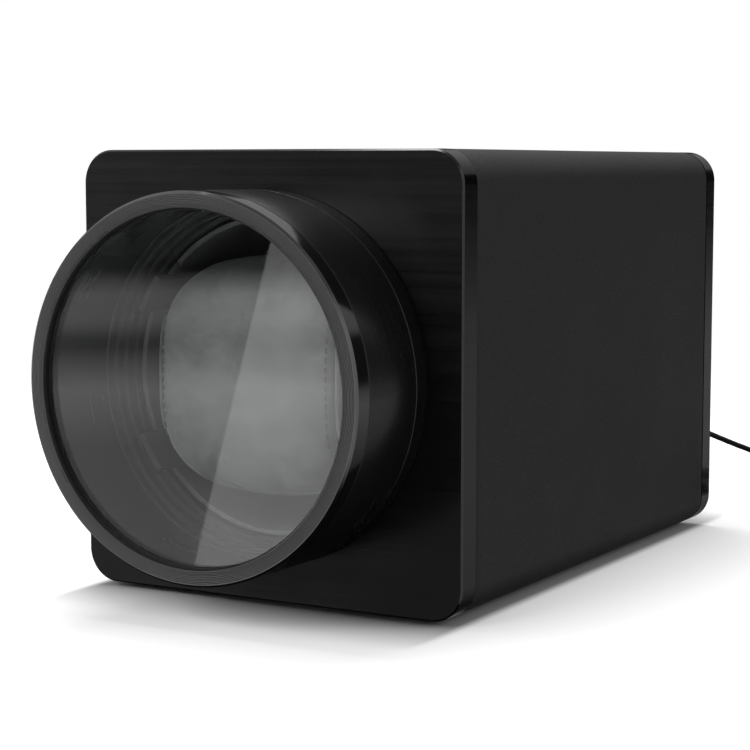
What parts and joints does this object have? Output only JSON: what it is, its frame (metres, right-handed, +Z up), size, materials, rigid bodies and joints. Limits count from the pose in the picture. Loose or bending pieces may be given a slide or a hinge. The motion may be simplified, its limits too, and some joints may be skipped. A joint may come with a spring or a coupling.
{
  "type": "watch winder box",
  "caption": "Single watch winder: leatherette box with metal end plates and a round glass-covered barrel onto a turning pillow cup.",
  "frame": {"origin": "on the floor, under the middle of the housing, its barrel and its rear knob (lead left out)", "axes": "+Z up, -Y out of the glass, +X to the right seen from the front"},
  "size_m": [0.1526, 0.3431, 0.1255],
  "materials": {
    "plate_metal": "black anodised, brushed",
    "barrel_metal": "black anodised, turned, satin",
    "board": "raw fibreboard",
    "leatherette": "fine grained black leatherette",
    "screw_steel": "blackened steel",
    "black_rubber": "matte",
    "bare_aluminium": "machined",
    "gloss_black": "polished black",
    "clear_glass": "polished",
    "bright_steel": "ground",
    "gear_plastic": "acetal",
    "suede": "dark grey suede",
    "bronze": "machined",
    "wire_sleeve": "wire insulation",
    "board_green": "solder mask",
    "satin_plastic": "satin black",
    "lead_sleeve": "satin black sleeve"
  },
  "bodies": {
    "housing": {"front_plate": "plate_metal", "body_board": "board", "body_wrap": "leatherette", "rear_plate": "plate_metal", "rear_screws": "screw_steel", "feet": "black_rubber", "base_ring": "barrel_metal", "barrel": "barrel_metal", "ring_nut": "bare_aluminium", "baffle": "gloss_black", "baffle_screws": "screw_steel", "front_bulkhead": "bare_aluminium", "rear_bulkhead": "bare_aluminium", "front_bush": "bronze", "rear_bush": "bronze", "tie_rods": "bare_aluminium", "spacer_tubes": "bare_aluminium", "motor": "bright_steel", "motor_screws": "screw_steel", "motor_leads": "wire_sleeve", "circuit_board": "board_green", "board_pillars": "bronze", "programme_switch": "bright_steel", "direction_switch": "satin_plastic", "power_socket": "satin_plastic", "socket_nut": "bright_steel", "socket_leads": "wire_sleeve", "lead_plug": "lead_sleeve", "lead_relief": "lead_sleeve", "lead": "lead_sleeve", "lead_coil": "lead_sleeve", "lead_tie": "lead_sleeve", "lead_tail": "lead_sleeve", "usb_grip": "lead_sleeve", "usb_shell": "bright_steel"},
    "cover": {"cover_ring": "barrel_metal", "cover_gasket": "black_rubber", "cover_glass": "clear_glass", "glass_retainer": "barrel_metal", "grip_ring": "black_rubber"},
    "cup": {"cup": "gloss_black", "cup_hub": "bare_aluminium", "hub_screws": "screw_steel", "cup_shaft": "bright_steel", "shaft_collar": "screw_steel", "large_gear": "gear_plastic"},
    "cushion": {"pillow": "suede", "pillow_cradle": "gloss_black"},
    "pinion": {"motor_shaft": "bright_steel", "pinion": "bronze"},
    "knob": {"programme_knob": "satin_plastic"},
    "slider": {"direction_slider": "satin_plastic"}
  },
  "joints": [
    {"name": "cup_spin", "type": "hinge", "parent": "housing", "child": "cup", "pos_m": [0, -0.05, 0.0635], "axis": [0, 1, 0], "continuous": true},
    {"name": "pinion_spin", "type": "hinge", "parent": "housing", "child": "pinion", "pos_m": [0, -0.01, 0.0275], "axis": [0, 1, 0], "continuous": true},
    {"name": "cover_pull", "type": "slide", "parent": "housing", "child": "cover", "axis": [0, -1, 0], "range_m": [0, 0.12]},
    {"name": "pillow_pull", "type": "slide", "parent": "cup", "child": "cushion", "axis": [0, -1, 0], "range_m": [0, 0.084]},
    {"name": "knob_turn", "type": "hinge", "parent": "housing", "child": "knob", "pos_m": [-0.026, 0.108, 0.0935], "axis": [0, 1, 0], "range_deg": [0, 240]},
    {"name": "direction_slide", "type": "slide", "parent": "housing", "child": "slider", "axis": [1, 0, 0], "range_m": [-0.0025, 0.0025]}
  ],
  "couplings": [
    {"joint": "pinion_spin", "follows": "cup_spin", "ratio": -4},
    {"joint": "pillow_pull", "follows": "cover_pull", "ratio": 0.7}
  ]
}
